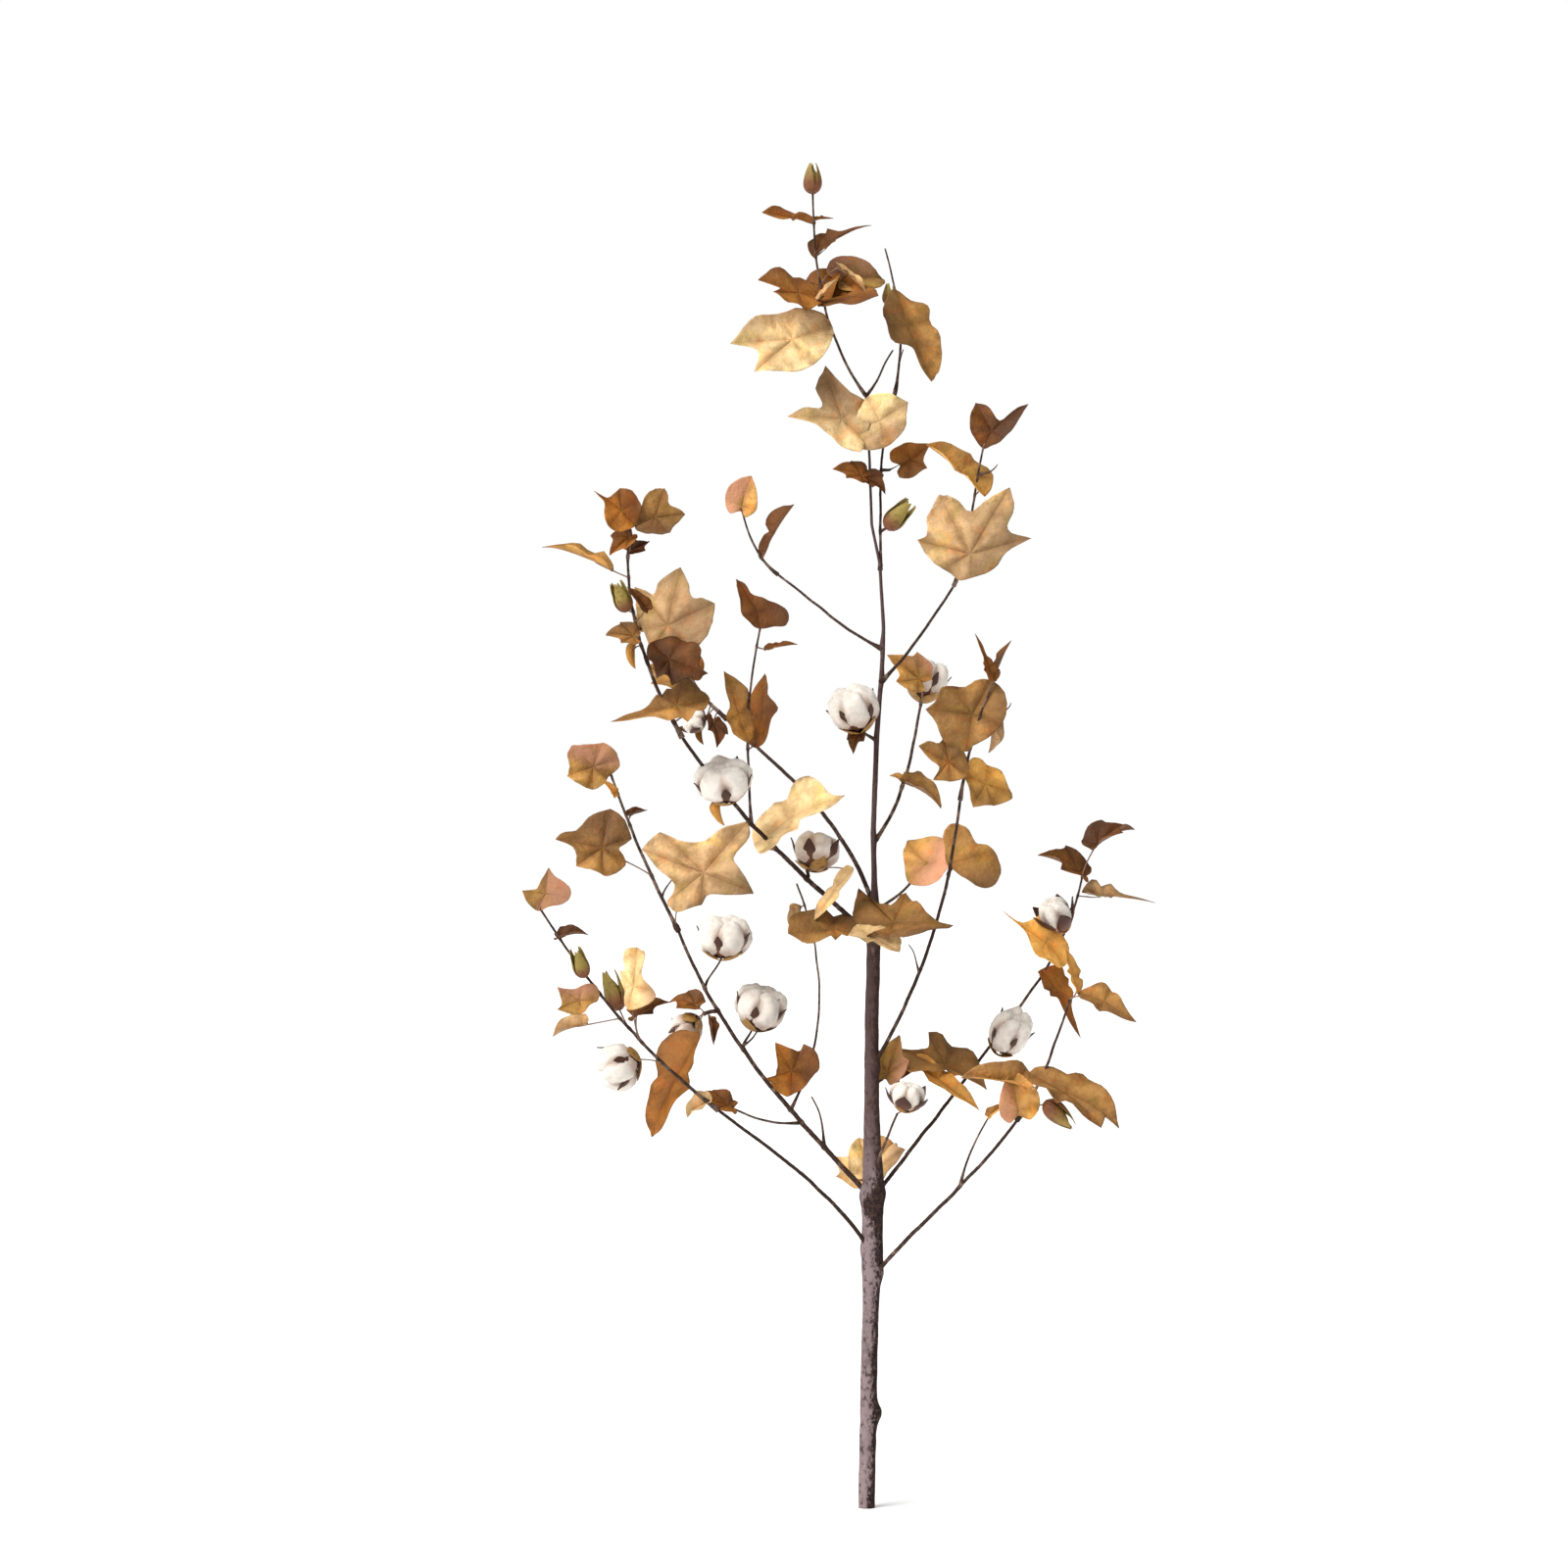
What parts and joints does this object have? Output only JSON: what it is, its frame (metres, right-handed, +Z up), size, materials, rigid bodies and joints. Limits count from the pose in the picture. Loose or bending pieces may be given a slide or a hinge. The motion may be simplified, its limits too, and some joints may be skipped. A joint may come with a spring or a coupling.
{
  "type": "cotton plant",
  "caption": "Dried cotton stem with slim boughs, lobed autumn leaves, open cotton bolls and closed buds.",
  "frame": {"origin": "centre of the flat cut under the main stem", "axes": "+Z up along the stem, +X to the right and -Y towards the viewer in the front view"},
  "size_m": [0.88, 0.545, 1.827],
  "materials": {
    "trunk_bark": "rough mottled grey-brown bark",
    "bough_bark": "matte dark brown bark",
    "leaf_straw": "matte, veined",
    "leaf_gold": "matte, veined",
    "leaf_tan": "matte, veined",
    "leaf_khaki": "matte, veined",
    "leaf_brown": "matte, veined",
    "leaf_umber": "matte, veined",
    "leaf_rosy": "matte, veined",
    "cotton": "soft open fibre"
  },
  "bodies": {
    "root": {"trunk": "trunk_bark", "bough_low_left": "bough_bark", "bough_left_long": "bough_bark", "bough_low_right": "bough_bark", "bough_right_long": "bough_bark", "bough_mid_left": "bough_bark", "bough_inner_left": "bough_bark", "bough_mid_right": "bough_bark", "bough_upper_left": "bough_bark", "bough_upper_right": "bough_bark", "bough_top_right": "bough_bark", "spray_far_left": "leaf_rosy", "spray_left_fork": "leaf_brown", "stub_left": "bough_bark", "stalk_left_low": "leaf_brown", "twig_left_inner": "leaf_brown", "boll_left_low": "cotton", "boll_left_mid": "cotton", "spray_left_long": "leaf_khaki", "leaf_left_boat": "leaf_straw", "boll_left_high": "cotton", "boll_left_inner": "cotton", "twig_mid_left": "leaf_gold", "spray_upper_left": "leaf_gold", "spray_inner_left": "leaf_brown", "spray_upper_left_tip": "leaf_brown", "spray_upper_right": "leaf_tan", "spray_top": "leaf_brown", "spray_top_right": "leaf_khaki", "leaves_top_bright": "leaf_gold", "leaves_top_brown": "leaf_umber", "leaf_top_right": "leaf_umber", "bud_top_right": "leaf_khaki", "spray_inner_right": "leaf_rosy", "boll_centre": "cotton", "spray_mid_right": "leaf_khaki", "leaf_mid_right_stalked": "leaf_rosy", "leaf_mid_right": "leaf_khaki", "leaves_fork_front": "leaf_khaki", "leaves_low_back": "leaf_gold", "leaf_low_right": "leaf_rosy", "boll_low_right": "cotton", "leaves_right_long": "leaf_khaki", "spray_far_right": "leaf_gold", "twig_low_right": "bough_bark", "spray_low_right": "leaf_tan"}
  },
  "joints": []
}
